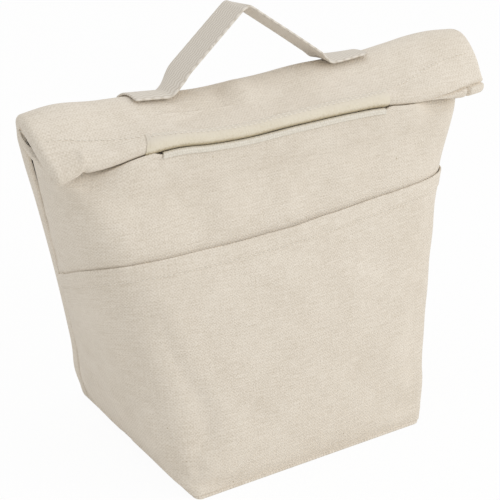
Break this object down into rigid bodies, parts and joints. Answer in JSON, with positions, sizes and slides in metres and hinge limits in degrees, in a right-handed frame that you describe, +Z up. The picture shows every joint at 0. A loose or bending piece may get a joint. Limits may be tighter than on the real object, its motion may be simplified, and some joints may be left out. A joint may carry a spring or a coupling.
{
  "type": "rolltop cooler bag",
  "caption": "Tapered canvas cooler bag with an insulating liner, a flat base, a front patch pocket, a top that rolls down to a hook-and-loop closure, and a webbing carry loop.",
  "frame": {"origin": "centre of the base, on the surface that the bag stands on", "axes": "+Z up, +X to the right along the front, front facing -Y"},
  "size_m": [0.3356, 0.1666, 0.3062],
  "materials": {
    "canvas": "unbleached plain-weave cotton canvas",
    "liner": "foil-faced foam",
    "webbing": "ribbed cotton webbing",
    "loop_tape": "looped pile tape",
    "hook_tape": "hook tape of woven nylon"
  },
  "bodies": {
    "bag": {"front_canvas": "canvas", "back_canvas": "canvas", "base_canvas": "canvas", "front_liner": "liner", "back_liner": "liner", "base_liner": "liner", "front_pocket": "canvas", "hook_tape": "hook_tape"},
    "crown_rear": {"crown_rear_back_canvas": "canvas", "crown_rear_back_liner": "liner", "crown_rear_front_liner": "liner", "crown_rear_front_canvas": "canvas"},
    "crown_top": {"crown_top_back_canvas": "canvas", "crown_top_back_liner": "liner", "crown_top_front_liner": "liner", "crown_top_front_canvas": "canvas", "handle_tab_left": "webbing", "handle_tab_right": "webbing", "handle_foot_left": "webbing", "handle_foot_right": "webbing"},
    "flap": {"flap_back_canvas": "canvas", "flap_back_liner": "liner", "flap_front_liner": "liner", "flap_front_canvas": "canvas", "hem_curl_canvas": "canvas", "loop_tape_flap": "loop_tape"},
    "hem": {"hem_back_canvas": "canvas", "hem_back_liner": "liner", "hem_front_liner": "liner", "hem_front_canvas": "canvas", "loop_tape_hem": "loop_tape"},
    "handle": {"handle_loop": "webbing"}
  },
  "joints": [
    {"name": "crown_lift", "type": "hinge", "parent": "bag", "child": "crown_rear", "pos_m": [0, 0.01128, 0.23907], "axis": [-1, 0, 0], "range_deg": [0, 34]},
    {"name": "unroll", "type": "hinge", "parent": "crown_rear", "child": "crown_top", "pos_m": [0, 0.00505, 0.25275], "axis": [-1, 0, 0], "range_deg": [0, 60]},
    {"name": "flap_lift", "type": "hinge", "parent": "crown_top", "child": "flap", "pos_m": [0, -0.02095, 0.25479], "axis": [-1, 0, 0], "range_deg": [0, 31]},
    {"name": "hem_unfold", "type": "hinge", "parent": "flap", "child": "hem", "pos_m": [0, -0.04203, 0.23259], "axis": [-1, 0, 0], "range_deg": [0, 150], "deforming": ["hem_curl_canvas"]},
    {"name": "handle_flop", "type": "hinge", "parent": "crown_top", "child": "handle", "pos_m": [0, -0.00382, 0.27193], "axis": [1, 0, 0], "range_deg": [-75, 75], "deforming": ["handle_foot_left", "handle_foot_right"]}
  ],
  "couplings": [
    {"joint": "crown_lift", "follows": "unroll", "ratio": 0.5666},
    {"joint": "flap_lift", "follows": "unroll", "ratio": 0.5166},
    {"joint": "hem_unfold", "follows": "unroll", "ratio": 2.5}
  ]
}
